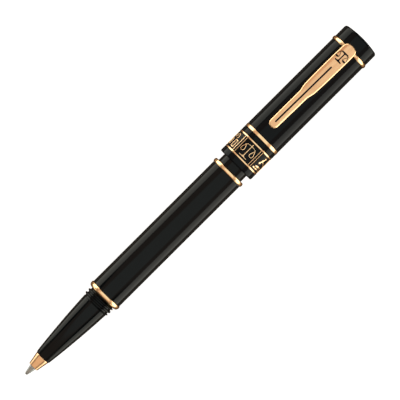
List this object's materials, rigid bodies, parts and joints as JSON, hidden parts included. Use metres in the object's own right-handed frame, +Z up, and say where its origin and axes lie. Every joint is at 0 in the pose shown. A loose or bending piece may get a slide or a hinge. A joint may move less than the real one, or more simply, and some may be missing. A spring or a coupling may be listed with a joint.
{
  "type": "rollerball pen",
  "caption": "Capped rollerball pen with a posted cap, sprung pocket clip, screw-off grip section and spring-loaded refill.",
  "frame": {"origin": "below the middle of the pen's length, on the plane that it lies on", "axes": "+X runs along the pen from the writing point to the cap's finial; +Z is up, on the clip's side; the pen's own axis is 7.89 mm above the origin"},
  "size_m": [0.17, 0.0158, 0.0185],
  "materials": {
    "black_resin": "gloss",
    "rose_gold": "polished",
    "engraved_band": "satin",
    "brass": "satin",
    "steel": "satin",
    "black_plastic": "matte",
    "seal_rubber": "matte",
    "ink_fibre": "matte"
  },
  "bodies": {
    "cap": {"cap_finial": "black_resin", "finial_screw": "brass", "clip_ring": "rose_gold", "cap_tube": "black_resin", "cap_band_upper": "rose_gold", "cap_spacer": "black_resin", "band_ring_upper": "rose_gold", "centre_band": "engraved_band", "band_ring_lower": "rose_gold", "cap_lip": "black_resin", "cap_liner": "black_plastic"},
    "clip": {"clip": "rose_gold"},
    "posting_ring": {"posting_ring": "seal_rubber"},
    "barrel": {"barrel_tube": "black_resin", "barrel_rear_ring": "rose_gold", "barrel_tail": "black_resin", "barrel_front_ring": "rose_gold", "barrel_bush": "brass", "refill_spring": "steel"},
    "refill": {"refill_tube": "steel", "refill_plug": "black_plastic", "refill_collar": "black_plastic", "refill_point": "steel", "refill_feed": "ink_fibre", "ink_reservoir": "ink_fibre"},
    "section": {"grip_section": "black_resin", "nose_cone": "rose_gold", "section_bush": "brass"},
    "writing_ball": {"writing_ball": "steel"}
  },
  "joints": [
    {"name": "clip_flex", "type": "hinge", "parent": "cap", "child": "clip", "pos_m": [0.07965, 0, 0.0158], "axis": [0, 1, 0], "range_deg": [0, 3.5], "stiffness_Nm_per_rad": 2},
    {"name": "barrel_pull", "type": "slide", "parent": "cap", "child": "posting_ring", "axis": [-1, 0, 0], "range_m": [0, 0.02]},
    {"name": "barrel_turn", "type": "hinge", "parent": "posting_ring", "child": "barrel", "pos_m": [0.0337, 0, 0.00789], "axis": [1, 0, 0], "continuous": true},
    {"name": "refill_advance", "type": "slide", "parent": "barrel", "child": "refill", "axis": [-1, 0, 0], "range_m": [0, 0.006], "deforming": ["refill_spring"]},
    {"name": "section_unscrew", "type": "hinge", "parent": "refill", "child": "section", "pos_m": [-0.04602, 0, 0.00789], "axis": [-1, 0, 0], "range_deg": [0, 2880]},
    {"name": "ball_roll", "type": "hinge", "parent": "refill", "child": "writing_ball", "pos_m": [-0.08467, 0, 0.00789], "axis": [0, 1, 0], "continuous": true}
  ],
  "couplings": [
    {"joint": "section_unscrew", "follows": "refill_advance", "rad_per_m": 8377.6}
  ]
}
